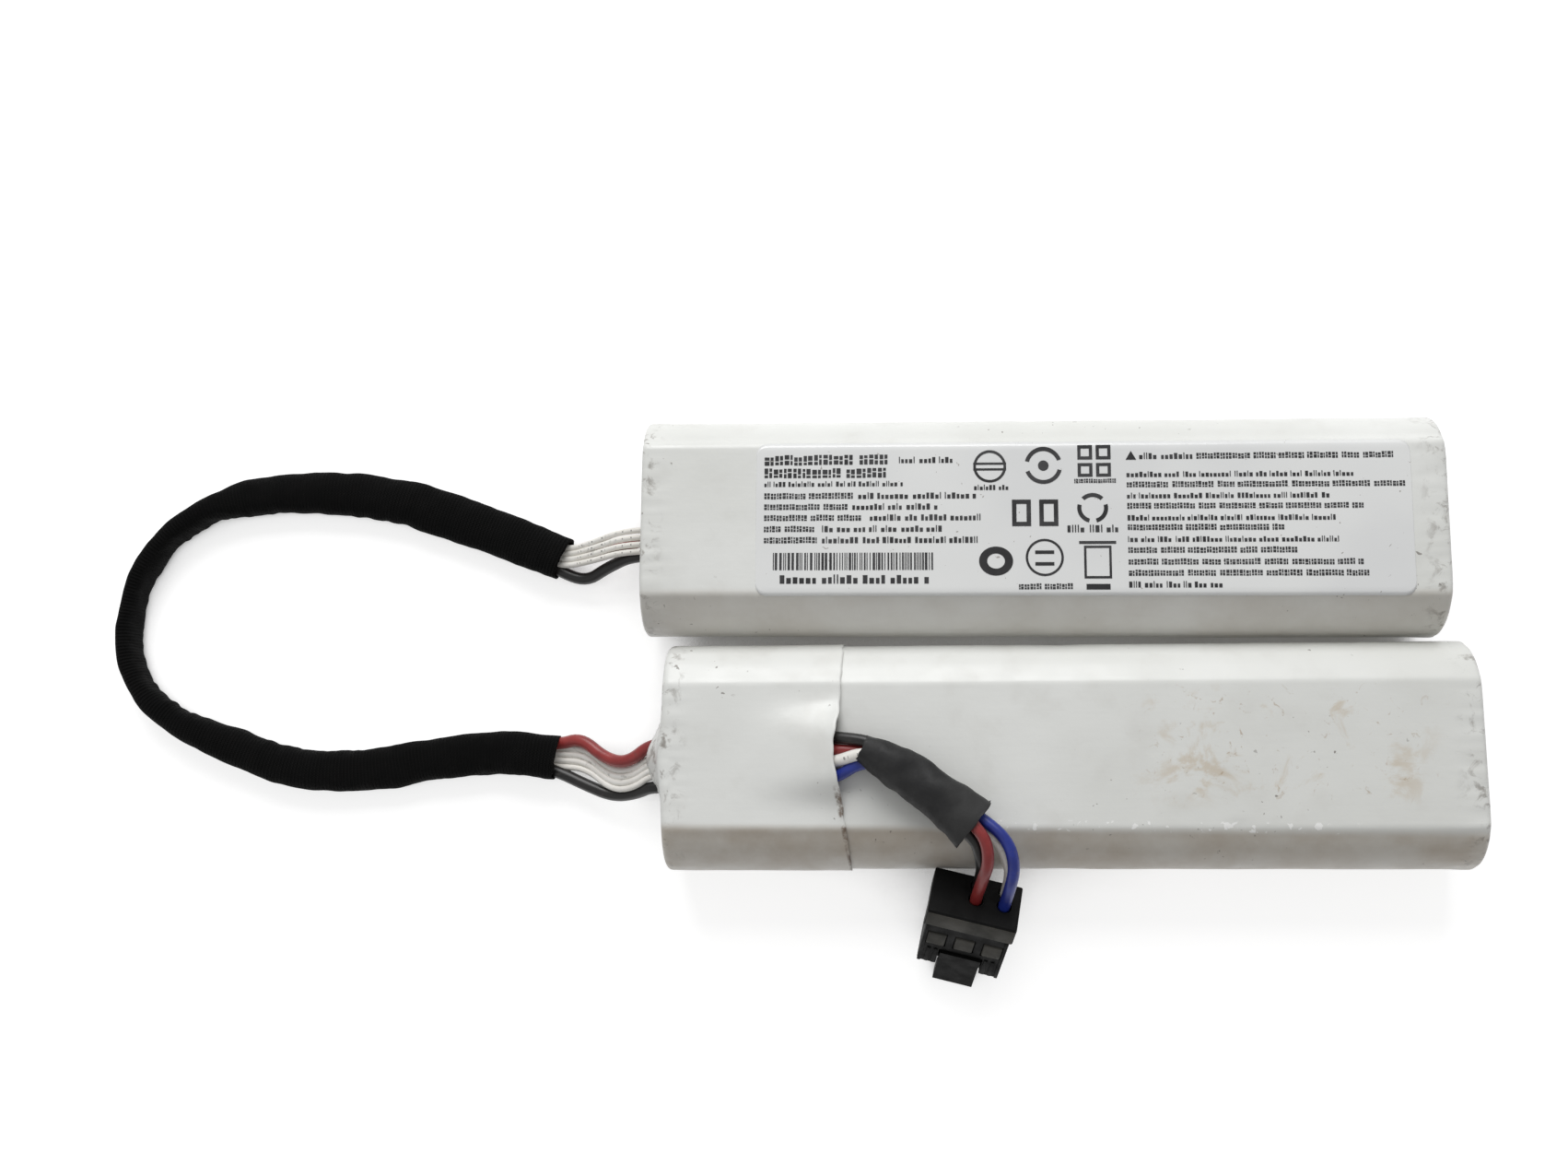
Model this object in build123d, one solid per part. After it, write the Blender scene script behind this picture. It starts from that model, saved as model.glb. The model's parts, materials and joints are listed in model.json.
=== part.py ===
from build123d import *
import math
import os

# Rechargeable battery pack of eight round cells in two sticks, joined by a sleeved harness.
# Millimetres. +Z is up, the sticks lie along X with their harness end at -X, and stick A is on +Y.
# The origin is under the middle of the two sticks, on the surface that they lie on.

# Cells: the 18 mm by 65 mm round size, in two lines side by side, two in each line.
CELL_R = 9.1
CELL_LENGTH = 65.1
CELL_SLEEVE = 0.12
LINE_Y = 9.5
BUTTON_R = 3.4
BUTTON_RISE = 0.2

# Shrink wrap round a stick: a slot-shaped section.
STICK_W = 38.4
STICK_H = 19.4
WRAP = 0.25
LIP = 3.2
END_ROUND = 0.9
AXIS_Z = STICK_H / 2

# Where the two sticks lie: middle of each, its length and how far it is turned. Stick B lies on its
# second wrap, so it is that film higher.
BAND = 0.3
STICK_A = Location((-1.95, 20.42, 0))
LENGTH_A = 136.8
STICK_B = Location((2.3, -19.43, BAND), (0, 0, 0.58))
LENGTH_B = 135.7

# Inner stack of a stick, along X.
BOARD = 0.8
STRIP = 0.15
STRIP_W = 27.0
STRIP_H = 7.0
PAPER = 0.2
PAPER_W = 17.0
WIRE_ROOM_A = 1.9
WIRE_ROOM_B = 2.0
RETURN_WIRE_R = 1.1
RETURN_WIRE_Z = 2.15
RETURN_WIRE_GAP = 0.2
PAPER_GAP = 0.02
BOARD_INSET = 1.0
CIRCUIT_INSET = 0.6
FOAM_INSET = 3.2

# Parts on the protection board's outer face: how far they stand off it, width and height.
SWITCH = (1.1, 5.0, 3.4)
SWITCH_SPOTS = [(y, z) for z in (4.6, 14.8) for y in (-9.0, -3.0, 3.0, 9.0)]
CHIP = (1.0, 4.0, 4.4)
CHIP_SPOT = (12.6, 9.0)
SMALL_PART = (0.5, 1.0, 0.6)
SMALL_SPOTS = [(y, 12.3) for y in (-12.0, -9.8, -7.6, -5.4, 5.6, 7.8, 10.0, 12.2)]

# Temperature sensor between the cells of stick B.
THERMISTOR_R = 0.8
THERMISTOR_START = 10.0
THERMISTOR_END = 14.0
THERMISTOR_Z = 16.6

# Second wrap over the harness end of stick B, with the tunnel that the lead leaves by.
BAND_END = -37.3
TUNNEL_START = -47.5
TUNNEL_MID_Y = -0.6
TUNNEL_W = 12.4
TUNNEL_RISE = 4.2
SLOT_START = -45.5
SLOT_END = -38.8
SLOT_W = 10.4
PAPER_FROM_SLOT = 1.6

# Rating label on stick A.
LABEL = 0.1
LABEL_LENGTH = 110.4
LABEL_W = 26.2
LABEL_MID_X = 7.0
LABEL_CORNER = 2.0

# Harness between the sticks: corners of its middle line (x, y, z, twist in degrees), by hand.
HARNESS = [
    (-86.8, 16.0, 4.5, 0),
    (-94.0, 19.2, 4.5, 0),
    (-108.0, 24.2, 4.5, 0),
    (-121.0, 28.2, 4.5, 5),
    (-135.0, 29.1, 4.5, 15),
    (-147.4, 28.0, 4.6, 30),
    (-157.6, 23.2, 4.7, 50),
    (-164.8, 15.2, 4.8, 70),
    (-167.6, 5.4, 4.8, 90),
    (-166.4, -4.6, 4.8, 110),
    (-159.8, -12.4, 4.7, 130),
    (-148.4, -18.0, 4.6, 150),
    (-136.0, -22.6, 4.5, 165),
    (-122.0, -23.0, 4.5, 175),
    (-109.0, -20.3, 4.5, 180),
    (-96.0, -18.9, 4.5, 180),
    (-87.0, -20.1, 4.5, 180),
]
HARNESS_SLEEVE_R = 4.5
HARNESS_SLEEVE_WALL = 0.4
POWER_R = 1.2
SENSE_R = 0.55
WIRE_END_A = -68.25
WIRE_END_B = -63.12

# Each harness wire: its radius, its place across and up in the bundle, and its own corners
# between board A and the bundle, and between the bundle and board B.
HARNESS_WIRES = {
    "harness_red": (
        POWER_R,
        (-1.35, -0.5),
        [(WIRE_END_A, 22.0, 9.4), (-73.6, 22.0, 9.4), (-80.4, 18.8, 5.7)],
        [(-81.0, -18.5, 7.2), (-75.2, -19.4, 9.0), (-69.2, -17.6, 10.2), (WIRE_END_B, -17.5, 10.2)],
    ),
    "harness_black": (
        POWER_R,
        (1.35, -0.5),
        [(WIRE_END_A, 15.0, 8.2), (-73.6, 15.0, 8.2), (-80.6, 12.4, 5.4)],
        [(-81.2, -24.4, 6.2), (-75.4, -27.0, 6.6), (-69.0, -25.8, 9.2), (WIRE_END_B, -25.8, 9.2)],
    ),
}
SENSE_PITCH = 1.25
SENSE_UP = 1.7
for index in range(4):
    across = (index - 1.5) * SENSE_PITCH
    HARNESS_WIRES[f"harness_white_{index + 1}"] = (
        SENSE_R,
        (across, SENSE_UP),
        [
            (WIRE_END_A, 18.1 - 1.2 * across, 10.6),
            (-74.4, 18.1 - 1.2 * across, 10.6),
            (-80.6, 16.8 - across, 8.5),
        ],
        [
            (-80.6, -20.6 - across, 4.2),
            (-75.0, -21.4 - across, 6.4),
            (-69.0, -21.8 - across, 9.3),
            (WIRE_END_B, -21.8 - across, 9.4),
        ],
    )

# Output lead: corners of the bundle inside its heat-shrink sleeve (x, y, z, twist), by hand.
LEAD = [
    (-30.4, -18.9, 23.3, -45),
    (-25.2, -20.9, 23.4, 15),
    (-18.7, -25.4, 23.4, 75),
    (-12.9, -30.8, 23.3, 135),
]
LEAD_SLEEVE_R = 3.5
LEAD_SLEEVE_WALL = 0.4
LEAD_WIRE_R = 1.0
LEAD_START = -48.5
LEAD_STRAIGHT = 4.5
LEAD_SLEEVE_START = (-30.4, -18.9, 23.3)
LEAD_INNER_Z = 17.75

# Connector on the lead: it leans nose down, its rear edge on stick B's side.
CONNECTOR_W = 14.2
CONNECTOR_L = 16.5
CONNECTOR_H = 8.4
CONNECTOR_LEAN = 54.0
CONNECTOR_TURN = 12.8
CONNECTOR_REST = (-12.1, -39.95, 13.4)
FLANGE_L = 4.5
FLANGE_PROUD = 0.4
PITCH = 4.8
ROWS = (2.0, 4.6)
CAVITY_R = 1.25
SOCKET = 2.0
WIRE_DEPTH = 3.0
TERMINAL_R = 1.1
TERMINAL_END = 14.5
LATCH_W = 7.0
LATCH_GAP = 0.3
LATCH_START = 11.9
LATCH_PIVOT = (14.2, 7.5)
LATCH_PIN_R = 0.6
LATCH_PIN_REACH = 1.4
PIN_CLEARANCE = 0.06
LATCH_END = 21.6
LATCH_Z = 7.1
LATCH_ARM_H = 1.1
LATCH_PAD = (1.8, 1.8)
LATCH_NOSE_Z = 6.2
LATCH_NOSE_H = 2.0
LATCH_NOSE_GAP = 1.6
LATCH_BED_Z = 6.1
WINDOW_W = 3.6
WINDOW_START = 6.6
WINDOW_L = 3.9
WINDOW_DEPTH = 0.5
SOCKET_DEPTH = 3.0

# The connector's own plane: x across, y towards its nose, z out of its top face.
turn = math.radians(CONNECTOR_TURN)
lean = math.radians(CONNECTOR_LEAN)
HEADING = Vector(-math.sin(turn), -math.cos(turn), 0)
TOP_NORMAL = HEADING * math.sin(lean) + Vector(0, 0, math.cos(lean))
CONNECTOR = Plane(
    origin=CONNECTOR_REST,
    x_dir=(-math.cos(turn), math.sin(turn), 0),
    z_dir=TOP_NORMAL,
)


def silo(column, row, y):
    """The point on one silo's axis, y behind or ahead of the connector's rear face."""
    point = CONNECTOR.from_local_coords((column * PITCH, y, ROWS[row]))
    return (point.X, point.Y, point.Z)


# Each lead wire: its place in the bundle, where it lies across stick B, its corners before the
# sleeve and after it, its silo, and how far it runs straight behind the silo.
LEAD_PLACE = 1.2
LEAD_WIRES = {
    "lead_black": (
        (LEAD_PLACE, LEAD_PLACE),
        3.15,
        [(-37.0, -16.9, 21.3)],
        [(-13.0, -34.2, 23.0), (-12.3, -37.1, 21.7)],
        (0, 0, -4.0),
    ),
    "lead_red": (
        (LEAD_PLACE, -LEAD_PLACE),
        1.05,
        [(-37.0, -19.1, 21.1)],
        [(-11.0, -33.6, 25.2), (-11.0, -37.6, 24.0)],
        (0, 1, -5.5),
    ),
    "lead_white": (
        (-LEAD_PLACE, LEAD_PLACE),
        -1.05,
        [(-37.0, -21.4, 21.5)],
        [(-9.8, -34.0, 21.7), (-7.7, -37.2, 20.8)],
        (-1, 0, -4.0),
    ),
    "lead_blue": (
        (-LEAD_PLACE, -LEAD_PLACE),
        -3.15,
        [(-37.0, -24.3, 21.2)],
        [(-8.2, -33.4, 24.2), (-6.9, -37.8, 23.2)],
        (-1, 1, -5.5),
    ),
}


def bar(outline, start, end):
    """An outline in Y and Z drawn along X, its middle at the cells' height."""
    plane = Plane(origin=(start, 0, AXIS_Z), x_dir=(0, 1, 0), z_dir=(1, 0, 0))
    return extrude(plane * outline, amount=end - start)


def slot_section(inset):
    return SlotOverall(STICK_W - 2 * inset, STICK_H - 2 * inset)


def rod(radius, start, end, y, z):
    return Pos((start + end) / 2, y, z) * Rot(0, 90, 0) * Cylinder(radius, end - start)


def block(start, end, y, z, width, height):
    return Pos((start + end) / 2, y, z) * Box(end - start, width, height)


def rounded_bar(inset, start, end, radius):
    """A slot-shaped bar with both its end edges rounded."""
    solid = bar(slot_section(inset), start, end)
    ends = solid.faces().sort_by(Axis.X)
    return fillet(ends[0].edges() + ends[-1].edges(), radius)


def shrink_wrap(start, end, wall):
    """A closed film round a stick: rounded ends, each folded in round an open mouth."""
    outer = rounded_bar(0, start, end, END_ROUND)
    room = rounded_bar(wall, start + wall, end - wall, END_ROUND - wall)
    return outer - room - bar(slot_section(wall + LIP), start - 1, end + 1)


def corner_radii(points):
    """The largest smooth arc at each corner of a route: 0.45 of its shorter run."""
    corners = [Vector(*point) for point in points]
    radii = []
    for before, corner, after in zip(corners, corners[1:], corners[2:]):
        run = min((corner - before).length, (after - corner).length)
        half_turn = math.radians((corner - before).get_angle(after - corner)) / 2
        radii.append(0.45 * run / math.tan(half_turn))
    return radii


def tube(points, radius):
    """A round solid along a route of straight runs joined by tangent arcs."""
    path = FilletPolyline(*points, radius=corner_radii(points))
    section = Plane(origin=path @ 0, z_dir=path % 0) * Circle(radius)
    return sweep(section, path=path)


def report(name, points, radius, solid):
    path = FilletPolyline(*points, radius=corner_radii(points))
    drawn = solid.volume / (math.pi * radius**2 * path.length)
    tightest = min(corner_radii(points))
    print(f"{name}: length {path.length:.1f}, tightest radius {tightest:.1f}, volume share {drawn:.3f}")


def strand(route, place):
    """Corners of one wire of a bundle: its place is turned by the twist and mitred across each bend."""
    corners = []
    for index, (x, y, z, twist) in enumerate(route):
        before = route[max(index - 1, 0)]
        after = route[min(index + 1, len(route) - 1)]
        heading_in = Vector(x - before[0], y - before[1]) if index else Vector(after[0] - x, after[1] - y)
        last = index == len(route) - 1
        heading_out = heading_in if last else Vector(after[0] - x, after[1] - y)
        normal_in = Vector(-heading_in.Y, heading_in.X).normalized()
        normal_out = Vector(-heading_out.Y, heading_out.X).normalized()
        mitre = (normal_in + normal_out) / (1 + normal_in.dot(normal_out))
        angle = math.radians(twist)
        across = place[0] * math.cos(angle) - place[1] * math.sin(angle)
        up = place[0] * math.sin(angle) + place[1] * math.cos(angle)
        corners.append((x + mitre.X * across, y + mitre.Y * across, z + up))
    return corners


def cell_stack(first):
    """Where things start along X in a stick whose first board's outer face is at first."""
    board_end = first + BOARD
    cell_1 = board_end + STRIP
    middle = cell_1 + CELL_LENGTH + BUTTON_RISE
    cell_2 = middle + STRIP
    last_strip = cell_2 + CELL_LENGTH + BUTTON_RISE
    return {
        "board": first,
        "strip_left": board_end,
        "cells": (cell_1, cell_2),
        "strip_mid": middle,
        "strip_right": last_strip,
        "last_board": last_strip + STRIP,
    }


def cell(start, y):
    can = rod(CELL_R, start, start + CELL_LENGTH, y, AXIS_Z)
    ends = can.edges().filter_by(GeomType.CIRCLE)
    can = fillet(ends, 0.4)
    return can + rod(BUTTON_R, start + CELL_LENGTH, start + CELL_LENGTH + BUTTON_RISE, y, AXIS_Z)


def cell_sleeve(start, y):
    room = rod(CELL_R, start, start + CELL_LENGTH, y, AXIS_Z)
    return rod(CELL_R + CELL_SLEEVE, start, start + CELL_LENGTH, y, AXIS_Z) - room


def ring_insulator(start, y):
    end = start + CELL_LENGTH
    room = rod(BUTTON_R + 0.2, end, end + BUTTON_RISE, y, AXIS_Z)
    return rod(CELL_R - 0.3, end, end + BUTTON_RISE, y, AXIS_Z) - room


def nickel_strip(start):
    """One strip across both cells, slit at each so that a weld current runs through the cell."""
    strip = block(start, start + STRIP, 0, AXIS_Z, STRIP_W, STRIP_H)
    for y in (-LINE_Y, LINE_Y):
        strip -= block(start - 1, start + 1, y, AXIS_Z + 1.2, 0.8, 3.4)
    return strip


def insulator_board(start, thickness):
    """A board across the stick's end, cleared where the return wire runs."""
    board = bar(slot_section(BOARD_INSET), start, start + thickness)
    return board - rod(RETURN_WIRE_R + RETURN_WIRE_GAP, start - 1, start + thickness + 1, 0, RETURN_WIRE_Z)


def placed(place, piece):
    """One piece, or a group of separate solids, moved to its place."""
    if isinstance(piece, list):
        return Compound(children=[place * solid for solid in piece])
    return place * piece


def stick_nodes(tag, length, first, place):
    """The pieces that both sticks share, moved to where the stick lies."""
    stack = cell_stack(first)
    made = {}
    number = 1
    for start in stack["cells"]:
        for y in (LINE_Y, -LINE_Y):
            made[f"cell_{tag}_{number}"] = cell(start, y)
            number += 1
    spots = [(start, y) for start in stack["cells"] for y in (LINE_Y, -LINE_Y)]
    made[f"cell_sleeves_{tag}"] = [cell_sleeve(*spot) for spot in spots]
    made[f"ring_insulators_{tag}"] = [ring_insulator(*spot) for spot in spots]
    made[f"nickel_left_{tag}"] = nickel_strip(stack["strip_left"])
    made[f"nickel_middle_{tag}"] = nickel_strip(stack["strip_mid"])
    made[f"nickel_right_{tag}"] = nickel_strip(stack["strip_right"])
    board_start = stack["last_board"]
    made[f"end_board_right_{tag}"] = insulator_board(board_start, BOARD)
    foam_start = board_start + BOARD
    foam_end = length / 2 - WRAP
    made[f"foam_pad_{tag}"] = bar(slot_section(FOAM_INSET), foam_start, foam_end)
    paper_z = CELL_R + CELL_SLEEVE + PAPER / 2 + PAPER_GAP
    paper_end = stack["strip_right"]
    paper_start = SLOT_END + PAPER_FROM_SLOT if tag == "b" else stack["cells"][0]
    made[f"paper_top_{tag}"] = block(paper_start, paper_end, 0, AXIS_Z + paper_z, PAPER_W, PAPER)
    made[f"paper_bottom_{tag}"] = block(stack["cells"][0], paper_end, 0, AXIS_Z - paper_z, PAPER_W, PAPER)
    made[f"return_wire_{tag}"] = rod(
        RETURN_WIRE_R, stack["strip_left"], stack["last_board"], 0, RETURN_WIRE_Z
    )
    return {name: placed(place, piece) for name, piece in made.items()}


def rating_label():
    """A thin sticker that follows the top of the wrap and laps onto its shoulders."""
    start = LABEL_MID_X - LABEL_LENGTH / 2
    end = LABEL_MID_X + LABEL_LENGTH / 2
    film = bar(slot_section(-LABEL), start, end) - bar(slot_section(0), start - 1, end + 1)
    outline = RectangleRounded(LABEL_LENGTH, LABEL_W, LABEL_CORNER)
    keep = extrude(Plane(origin=(LABEL_MID_X, 0, AXIS_Z)) * outline, amount=STICK_H)
    return film & keep


def tunnel(proud, reach):
    """The wedge under which the lead's wires climb out, proud of the wrap by the given amount."""
    top = STICK_H + BAND
    profile = Polyline(
        (TUNNEL_START, top - 1),
        (TUNNEL_START, top - BAND + proud),
        (BAND_END + reach, top + TUNNEL_RISE - BAND + proud),
        (BAND_END + reach, top - 1),
        close=True,
    )
    width = TUNNEL_W + 2 * proud
    face = Plane(origin=(0, TUNNEL_MID_Y + width / 2, 0), x_dir=(1, 0, 0), z_dir=(0, -1, 0))
    return extrude(face * make_face(profile), amount=width)


def outer_band():
    """The second wrap over the harness end, tented over the lead's wires."""
    start = -LENGTH_B / 2
    shell = bar(slot_section(-BAND), start, BAND_END)
    first_end = shell.faces().sort_by(Axis.X)[0]
    shell = fillet(first_end.edges(), END_ROUND + BAND)
    shell += tunnel(BAND, 0)
    shell -= tunnel(0, 1)
    shell -= rounded_bar(0, start + BAND, LENGTH_B / 2, END_ROUND)
    return shell - bar(slot_section(WRAP + LIP), start - 1, start + 2)


def protection_board(start):
    return bar(slot_section(CIRCUIT_INSET), start, start + BOARD)


def board_parts(face, size, spots):
    """Equal boxes on the protection board's outer face, one at each spot."""
    depth, width, height = size
    return [block(face - depth, face, y, z, width, height) for y, z in spots]


def connector_block(x, y, z, across, along, up):
    """A box in the connector's own plane, from its lowest y and z."""
    return CONNECTOR.location * Pos(x, y + along / 2, z + up / 2) * Box(across, along, up)


def connector_rod(x, z, radius, start, end):
    return CONNECTOR.location * Pos(x, (start + end) / 2, z) * Rot(90, 0, 0) * Cylinder(radius, end - start)


def pivot_rod(radius, x_start, x_end):
    """A short round bar across the connector, on the latch's pivot."""
    y, z = LATCH_PIVOT
    place = Pos((x_start + x_end) / 2, y, z) * Rot(0, 90, 0)
    return CONNECTOR.location * place * Cylinder(radius, x_end - x_start)


# The silos, column and row, and those that hold a wire; the others are blind at the back.
SILOS = [(column, row) for column in (-1, 0, 1) for row in (0, 1)]
WIRED = [end[:2] for *_, end in LEAD_WIRES.values()]


def connector_housing():
    body = connector_block(0, 0, 0, CONNECTOR_W, CONNECTOR_L, CONNECTOR_H)
    body = fillet(body.edges().filter_by(GeomType.LINE), 0.5)
    flange = connector_block(0, 0, 0, CONNECTOR_W + 2 * FLANGE_PROUD, FLANGE_L, CONNECTOR_H + FLANGE_PROUD)
    body += fillet(flange.edges(), 0.35)
    for column in (-1, 0, 1):
        body -= connector_block(column * PITCH, WINDOW_START, CONNECTOR_H - WINDOW_DEPTH, WINDOW_W, WINDOW_L, 2)
    for column, row in SILOS:
        x = column * PITCH
        z = ROWS[row]
        back = -1 if (column, row) in WIRED else WIRE_DEPTH
        body -= connector_rod(x, z, CAVITY_R, back, CONNECTOR_L - 1)
        body -= connector_block(x, CONNECTOR_L - SOCKET_DEPTH, z - SOCKET / 2, SOCKET, 5, SOCKET)
    bed = LATCH_W + 2 * LATCH_GAP
    body -= connector_block(0, LATCH_START - LATCH_GAP, LATCH_BED_Z, bed, CONNECTOR_L, CONNECTOR_H)
    reach = bed / 2 + LATCH_PIN_REACH
    return body - pivot_rod(LATCH_PIN_R + PIN_CLEARANCE, -reach, reach)


def connector_terminals():
    """A crimped socket in each silo that holds a wire."""
    parts = []
    for column, row in WIRED:
        parts.append(connector_rod(column * PITCH, ROWS[row], TERMINAL_R, WIRE_DEPTH, TERMINAL_END))
    return Compound(children=parts)


def connector_latch():
    """A rocker: thumb pad, a pivot pin each side, and a hooked nose past the mating face."""
    pad = connector_block(0, LATCH_START, LATCH_Z, LATCH_W, *LATCH_PAD)
    arm = connector_block(0, LATCH_START, LATCH_Z, LATCH_W, LATCH_END - LATCH_START, LATCH_ARM_H)
    nose_start = CONNECTOR_L + LATCH_NOSE_GAP
    nose = connector_block(0, nose_start, LATCH_NOSE_Z, LATCH_W, LATCH_END - nose_start, LATCH_NOSE_H)
    lever = arm + pad + nose
    reach = LATCH_W / 2 + LATCH_GAP + LATCH_PIN_REACH - 0.2
    return lever + pivot_rod(LATCH_PIN_R, -reach, reach)


nodes = {}

# Stick A.
first_a = -LENGTH_A / 2 + WRAP + WIRE_ROOM_A
nodes.update(stick_nodes("a", LENGTH_A, first_a, STICK_A))
nodes["end_board_left_a"] = STICK_A * insulator_board(first_a, BOARD)
nodes["wrap_a"] = STICK_A * shrink_wrap(-LENGTH_A / 2, LENGTH_A / 2, WRAP)
nodes["rating_label"] = STICK_A * rating_label()

# Stick B.
wrap_b_start = -LENGTH_B / 2 + BAND
first_b = wrap_b_start + WRAP + WIRE_ROOM_B
nodes.update(stick_nodes("b", LENGTH_B, first_b, STICK_B))
wrap_b = shrink_wrap(wrap_b_start, LENGTH_B / 2, WRAP)
wrap_b -= block(SLOT_START, SLOT_END, TUNNEL_MID_Y, STICK_H, SLOT_W, 3)
nodes["wrap_b"] = STICK_B * wrap_b
nodes["outer_wrap_b"] = STICK_B * outer_band()
nodes["protection_board"] = STICK_B * protection_board(first_b)
nodes["power_switches"] = placed(STICK_B, board_parts(first_b, SWITCH, SWITCH_SPOTS))
nodes["control_chip"] = placed(STICK_B, board_parts(first_b, CHIP, [CHIP_SPOT]))
nodes["board_small_parts"] = placed(STICK_B, board_parts(first_b, SMALL_PART, SMALL_SPOTS))
nodes["thermistor"] = STICK_B * rod(THERMISTOR_R, THERMISTOR_START, THERMISTOR_END, 0, THERMISTOR_Z)

# Harness.
corners = [corner[:3] for corner in HARNESS]
sleeve = tube(corners, HARNESS_SLEEVE_R)
room = tube(corners, HARNESS_SLEEVE_R - HARNESS_SLEEVE_WALL)
report("harness_sleeve", corners, HARNESS_SLEEVE_R, sleeve)
nodes["harness_sleeve"] = sleeve - room
for name, (radius, place, at_a, at_b) in HARNESS_WIRES.items():
    corners = at_a + strand(HARNESS, place) + at_b
    nodes[name] = tube(corners, radius)
    report(name, corners, radius, nodes[name])

# Output lead, its wires inside stick B, and its connector.
corners = [LEAD_SLEEVE_START] + [corner[:3] for corner in LEAD[1:]]
sleeve = tube(corners, LEAD_SLEEVE_R)
room = tube(corners, LEAD_SLEEVE_R - LEAD_SLEEVE_WALL)
report("lead_sleeve", corners, LEAD_SLEEVE_R, sleeve)
nodes["lead_sleeve"] = sleeve - room
inner_wires = []
for name, (place, inner_y, before, after, (column, row, straight)) in LEAD_WIRES.items():
    inner_wires.append(rod(LEAD_WIRE_R, first_b + BOARD, LEAD_START, inner_y, LEAD_INNER_Z))
    start = STICK_B * Pos(LEAD_START, inner_y, LEAD_INNER_Z)
    first = [tuple(start.position), tuple((start * Pos(LEAD_STRAIGHT, 0, 0)).position)]
    ends = [silo(column, row, straight), silo(column, row, WIRE_DEPTH)]
    corners = first + before + strand(LEAD, place) + after + ends
    nodes[name] = tube(corners, LEAD_WIRE_R)
    report(name, corners, LEAD_WIRE_R, nodes[name])
nodes["lead_inner_wires"] = placed(STICK_B, inner_wires)
nodes["connector_housing"] = connector_housing()
nodes["connector_terminals"] = connector_terminals()
nodes["connector_latch"] = connector_latch()

os.makedirs("parts", exist_ok=True)
for name, piece in nodes.items():
    export_step(piece, f"parts/{name}.step")

sticks = Compound(children=[nodes["wrap_a"], nodes["wrap_b"], nodes["outer_wrap_b"], nodes["rating_label"]])
box = sticks.bounding_box()
print("nodes", len(nodes), "sticks' box", box.min, box.max, "middle", box.center())
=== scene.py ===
"""Battery pack of two shrink-wrapped sticks: the looks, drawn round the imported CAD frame."""
import json
import math
import random

import bpy
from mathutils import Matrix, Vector, noise


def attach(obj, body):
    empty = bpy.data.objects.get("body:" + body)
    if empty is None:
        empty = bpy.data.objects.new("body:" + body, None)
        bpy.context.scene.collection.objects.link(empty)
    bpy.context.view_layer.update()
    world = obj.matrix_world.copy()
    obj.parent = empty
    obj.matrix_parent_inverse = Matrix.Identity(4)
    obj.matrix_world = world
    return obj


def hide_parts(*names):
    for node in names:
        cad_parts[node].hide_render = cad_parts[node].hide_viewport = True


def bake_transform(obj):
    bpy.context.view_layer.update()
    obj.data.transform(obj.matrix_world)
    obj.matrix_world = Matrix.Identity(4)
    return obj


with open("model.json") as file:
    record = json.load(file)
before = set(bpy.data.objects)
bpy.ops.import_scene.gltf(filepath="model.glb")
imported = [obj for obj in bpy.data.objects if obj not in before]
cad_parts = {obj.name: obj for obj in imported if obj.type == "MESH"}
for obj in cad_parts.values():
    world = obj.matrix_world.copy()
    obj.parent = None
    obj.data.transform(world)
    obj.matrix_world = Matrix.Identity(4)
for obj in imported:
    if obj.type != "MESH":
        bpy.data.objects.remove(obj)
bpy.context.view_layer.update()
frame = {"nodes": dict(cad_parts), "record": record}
MM = 0.001

# The sticks, in millimetres, as in the CAD: section, places, lengths and the walls of the films.
# "crease" is how far from a stick's middle line its top stays flat, and "seed" picks its dents.
STICK_W = 38.4
STICK_H = 19.4
ROUND = STICK_H / 2
FLAT = STICK_W / 2 - ROUND
END_ROUND = 0.9
WRAP = 0.25
BAND = 0.3
STICK_A = {
    "body": "pack_a", "x": -1.95, "y": 20.42, "z": 0.0, "turn": 0.0,
    "length": 136.8, "crease": 12.7, "seed": 2.0,
}
STICK_B = {
    "body": "pack_b", "x": 2.3, "y": -19.43, "z": BAND, "turn": math.radians(0.58),
    "length": 135.7, "crease": 11.9, "seed": 11.0,
}

# Where the second film ends along stick B, and the slot in the first film for the lead's wires.
BAND_END = -37.3
SLOT_START = -45.5
SLOT_END = -38.8
SLOT_MID_Y = -0.6
SLOT_W = 10.4

# The tent that the second film makes over the lead's wires.
TENT_START = -58.0
TENT_MIDDLE = 0.2
TENT_HALF = 7.0
TENT_HEIGHT = 4.1

# Corners of the harness and of the lead, and how far their wires are turned there: the CAD's
# corners, with those of the far bend and of the lead moved by up to 1.5 mm.
HARNESS = [
    (-86.8, 16.0, 4.5, 0), (-94.0, 19.2, 4.5, 0), (-108.0, 24.2, 4.5, 0), (-121.0, 28.2, 4.5, 5),
    (-135.0, 29.1, 4.5, 15), (-147.8, 28.3, 4.6, 40), (-158.6, 24.0, 4.7, 65), (-166.0, 15.8, 4.8, 80),
    (-168.9, 5.6, 4.8, 90), (-167.6, -4.9, 4.8, 100), (-160.8, -13.2, 4.7, 125), (-148.4, -18.0, 4.6, 150),
    (-136.0, -22.6, 4.5, 165), (-122.0, -23.0, 4.5, 175), (-109.0, -20.3, 4.5, 180), (-96.0, -18.9, 4.5, 180),
    (-87.0, -20.1, 4.5, 180),
]
# Half the sleeve's width at even steps along it: flat at the ends, on edge at the far bend.
SLEEVE_HALF = [4.0, 4.1, 4.3, 4.1, 3.9, 3.5, 2.2, 1.8, 1.65, 1.9, 2.7, 3.3, 3.6, 3.7, 3.7, 3.8, 4.0]
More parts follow.
